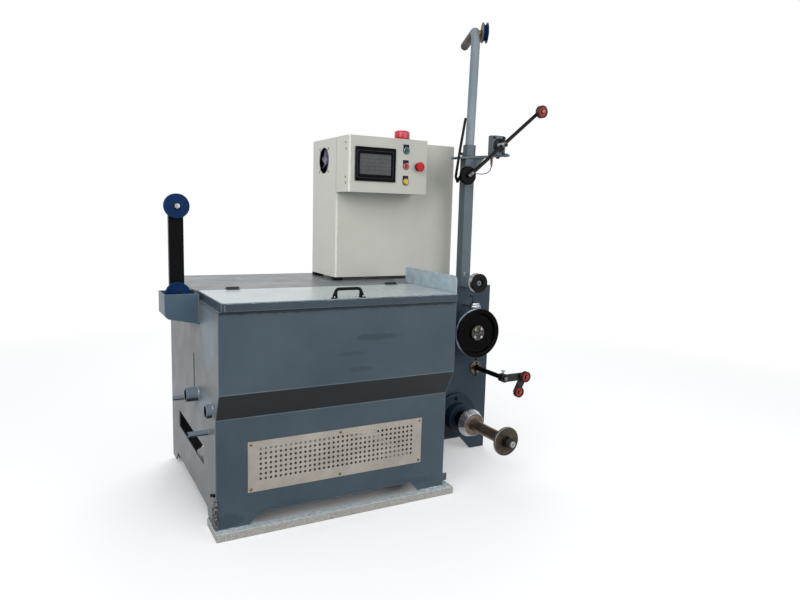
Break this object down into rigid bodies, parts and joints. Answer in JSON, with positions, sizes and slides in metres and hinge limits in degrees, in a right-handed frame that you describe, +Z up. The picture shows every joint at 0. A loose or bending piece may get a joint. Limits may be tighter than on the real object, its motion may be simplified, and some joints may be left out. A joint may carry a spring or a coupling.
{
  "type": "wet wire drawing machine",
  "caption": "Free-standing wet wire drawing machine: lidded steel tank with vent, payoff pulleys, control cabinet and a take-up unit with mast, dancer, capstan and spool spindle.",
  "frame": {"origin": "on the floor, at the middle of the underside of the front rail, which runs under the tank's front feet", "axes": "+X to the machine's right as seen from its front, towards the take-up unit; +Y to the back, away from the person at the lid; +Z up"},
  "size_m": [1.8, 0.95, 2.062],
  "materials": {
    "blue_grey_paint": "satin slate blue-grey paint",
    "warm_grey_paint": "fine-textured light grey paint",
    "galvanised": "dull galvanised steel",
    "stainless": "brushed stainless steel",
    "black_steel": "semi-gloss black paint",
    "navy_paint": "navy blue paint",
    "dark_steel": "brown tarnished machined steel",
    "bright_steel": "bright machined steel",
    "pipe_grey": "pale grey painted pipe",
    "bronze": "worn bronze",
    "brass": "dull brass",
    "black_plastic": "matt black plastic",
    "cable_black": "black cable jacket",
    "screen_grey": "dark grey bezel with glass",
    "silver_plastic": "silver button collars",
    "green_plastic": "green button",
    "red_plastic": "red plastic",
    "yellow_plastic": "yellow button",
    "beacon_red": "red lens"
  },
  "bodies": {
    "machine": {"base_rails": "galvanised", "tank_front_wall": "blue_grey_paint", "tank_left_wall": "blue_grey_paint", "opening_brace": "blue_grey_paint", "tank_right_wall": "blue_grey_paint", "tank_rear_wall": "blue_grey_paint", "tank_trough": "blue_grey_paint", "pipe_stubs": "bright_steel", "top_plate": "blue_grey_paint", "hinge_fixed_leaves": "bright_steel", "grille_plate": "stainless", "splash_guard": "galvanised", "payoff_tray": "blue_grey_paint", "payoff_post": "black_steel", "takeup_plate": "blue_grey_paint", "takeup_housing": "blue_grey_paint", "mast": "blue_grey_paint", "mast_bracket": "blue_grey_paint", "hook_bar": "black_steel", "dancer_bearing": "bright_steel", "proximity_sensor": "brass", "sensor_lead": "cable_black", "guide_arm": "blue_grey_paint", "capstan_bearing": "dark_steel", "wire_sensor": "bright_steel", "wire_sensor_lead": "cable_black", "traverse_flange": "bronze", "spindle_housing": "black_steel", "cabinet": "warm_grey_paint", "cabinet_feet": "black_plastic", "control_box": "warm_grey_paint", "touch_screen": "screen_grey", "switch_collars": "silver_plastic", "warning_beacon": "beacon_red", "fan_frame": "black_plastic"},
    "lid": {"lid": "blue_grey_paint", "lid_handle": "black_steel", "hinge_lid_leaves": "bright_steel"},
    "payoff_pulley_low": {"payoff_pulley_low": "navy_paint"},
    "payoff_pulley_high": {"payoff_pulley_high": "navy_paint"},
    "crook": {"crook": "pipe_grey"},
    "top_pulley": {"top_pulley": "navy_paint"},
    "dancer": {"dancer_arm": "bright_steel", "dancer_weight": "bright_steel"},
    "dancer_roller": {"dancer_roller": "bright_steel"},
    "guide_pulley": {"guide_pulley": "black_steel"},
    "capstan": {"capstan_wheel": "black_steel", "capstan_hub": "bronze"},
    "traverse": {"traverse_rod": "bright_steel", "traverse_arm_plate": "dark_steel"},
    "traverse_roller_high": {"traverse_roller_high": "black_steel"},
    "traverse_roller_low": {"traverse_roller_low": "black_steel"},
    "takeup_spindle": {"takeup_spindle": "dark_steel", "spool_disc": "dark_steel", "spool_nut": "bright_steel"},
    "green_button": {"green_button": "green_plastic"},
    "red_button": {"red_button": "red_plastic"},
    "yellow_button": {"yellow_button": "yellow_plastic"},
    "emergency_stop": {"emergency_stop": "red_plastic"},
    "fan_rotor": {"fan_rotor": "black_plastic"}
  },
  "joints": [
    {"name": "lid_hinge", "type": "hinge", "parent": "machine", "child": "lid", "pos_m": [0, 0.3245, 0.865], "axis": [-1, 0, 0], "range_deg": [0, 95]},
    {"name": "payoff_pulley_low_spin", "type": "hinge", "parent": "machine", "child": "payoff_pulley_low", "pos_m": [-0.534, 0.3475, 0.844], "axis": [0, 1, 0], "continuous": true},
    {"name": "payoff_pulley_high_spin", "type": "hinge", "parent": "machine", "child": "payoff_pulley_high", "pos_m": [-0.534, 0.3475, 1.177], "axis": [0, 1, 0], "continuous": true},
    {"name": "crook_swivel", "type": "hinge", "parent": "machine", "child": "crook", "pos_m": [0.82724, 0.4295, 1.5], "axis": [0.0218, 0, 0.9998], "range_deg": [-45, 45]},
    {"name": "top_pulley_spin", "type": "hinge", "parent": "crook", "child": "top_pulley", "pos_m": [0.87504, 0.41323, 2.016], "axis": [0.9135, -0.4067, 0], "continuous": true},
    {"name": "dancer_swing", "type": "hinge", "parent": "machine", "child": "dancer", "pos_m": [0.966, 0.3875, 1.506], "axis": [0, 1, 0], "range_deg": [0, 70]},
    {"name": "dancer_roller_spin", "type": "hinge", "parent": "dancer", "child": "dancer_roller", "pos_m": [1.17202, 0.3305, 1.67583], "axis": [0, 1, 0], "continuous": true},
    {"name": "guide_pulley_spin", "type": "hinge", "parent": "machine", "child": "guide_pulley", "pos_m": [0.819, 0.3025, 0.855], "axis": [0, 1, 0], "continuous": true},
    {"name": "capstan_spin", "type": "hinge", "parent": "machine", "child": "capstan", "pos_m": [0.819, 0.288, 0.618], "axis": [0, 1, 0], "continuous": true},
    {"name": "traverse_slide", "type": "slide", "parent": "machine", "child": "traverse", "axis": [0, -1, 0], "range_m": [-0.06, 0.14]},
    {"name": "traverse_roller_high_spin", "type": "hinge", "parent": "traverse", "child": "traverse_roller_high", "pos_m": [1.011, 0.1525, 0.418], "axis": [0, 1, 0], "continuous": true},
    {"name": "traverse_roller_low_spin", "type": "hinge", "parent": "traverse", "child": "traverse_roller_low", "pos_m": [0.975, 0.1525, 0.348], "axis": [0, 1, 0], "continuous": true},
    {"name": "takeup_spin", "type": "hinge", "parent": "machine", "child": "takeup_spindle", "pos_m": [0.783, 0.1575, 0.188], "axis": [0, 1, 0], "continuous": true},
    {"name": "green_button_press", "type": "slide", "parent": "machine", "child": "green_button", "axis": [0, 1, 0], "range_m": [0, 0.003], "stiffness_N_per_m": 600, "springref_m": -0.002},
    {"name": "red_button_press", "type": "slide", "parent": "machine", "child": "red_button", "axis": [0, 1, 0], "range_m": [0, 0.003], "stiffness_N_per_m": 600, "springref_m": -0.002},
    {"name": "yellow_button_press", "type": "slide", "parent": "machine", "child": "yellow_button", "axis": [0, 1, 0], "range_m": [0, 0.003], "stiffness_N_per_m": 600, "springref_m": -0.002},
    {"name": "emergency_stop_press", "type": "slide", "parent": "machine", "child": "emergency_stop", "axis": [0, 1, 0], "range_m": [0, 0.005], "stiffness_N_per_m": 1500, "springref_m": -0.003},
    {"name": "fan_spin", "type": "hinge", "parent": "machine", "child": "fan_rotor", "pos_m": [0.2, 0.6735, 1.403], "axis": [1, 0, 0], "continuous": true}
  ]
}
